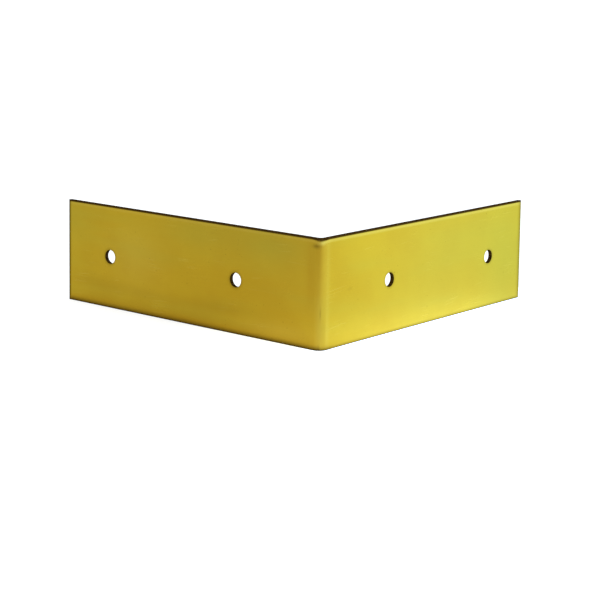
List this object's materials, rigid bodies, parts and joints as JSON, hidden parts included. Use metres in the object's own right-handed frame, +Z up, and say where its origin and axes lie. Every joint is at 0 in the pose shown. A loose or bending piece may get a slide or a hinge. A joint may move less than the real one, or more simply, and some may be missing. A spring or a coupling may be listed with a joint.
{
  "type": "corner kick plate",
  "caption": "L-shaped kick plate of thin satin brass sheet, folded to a right angle with a rounded bend, with plain round screw holes along each leg, for wrapping an outside corner.",
  "frame": {"origin": "middle of the bottom of the bounding box; the plate stands on its lower edges", "axes": "+Z up along the fold; the left leg runs along X and its outer face looks towards -Y; the right leg runs along Y and its outer face looks towards +X; the outside corner is at +X, -Y"},
  "size_m": [0.1016, 0.1016, 0.0318],
  "materials": {
    "brass_sheet": "satin rolled sheet, softly polished and lightly tarnished, with darker sheared edges"
  },
  "bodies": {
    "root": {"kick_plate": "brass_sheet"}
  },
  "joints": []
}
